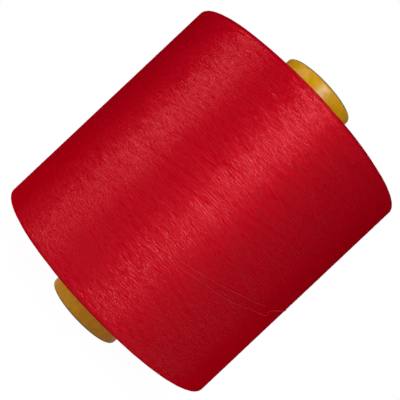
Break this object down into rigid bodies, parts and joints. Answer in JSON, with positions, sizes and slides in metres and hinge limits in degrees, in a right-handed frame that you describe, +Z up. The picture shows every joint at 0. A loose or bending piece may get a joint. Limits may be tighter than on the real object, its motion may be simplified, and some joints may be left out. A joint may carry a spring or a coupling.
{
  "type": "thread package",
  "caption": "Flangeless cylindrical package of cross-wound red thread on a yellow paper tube that stands out at both ends; slips over a creel peg.",
  "frame": {"origin": "centre of the lower rim of the paper tube, on the surface it stands on", "axes": "+Z up along the bore; +X to the right and -Y to the front, the side that the free end of the thread lies on; the catch slit is at the back, +Y"},
  "size_m": [0.2411, 0.2418, 0.29],
  "materials": {
    "liner_paper": "matte",
    "tube_board": "matte",
    "cover_paper": "satin",
    "thread": "satin"
  },
  "bodies": {
    "root": {"liner_ply": "liner_paper", "board_ply_1": "tube_board", "board_ply_2": "tube_board", "board_ply_3": "tube_board", "board_ply_4": "tube_board", "board_ply_5": "tube_board", "cover_ply": "cover_paper", "start_tail": "thread", "winding": "thread", "last_wraps": "thread", "loose_wrap": "thread", "end_tail": "thread"}
  },
  "joints": []
}
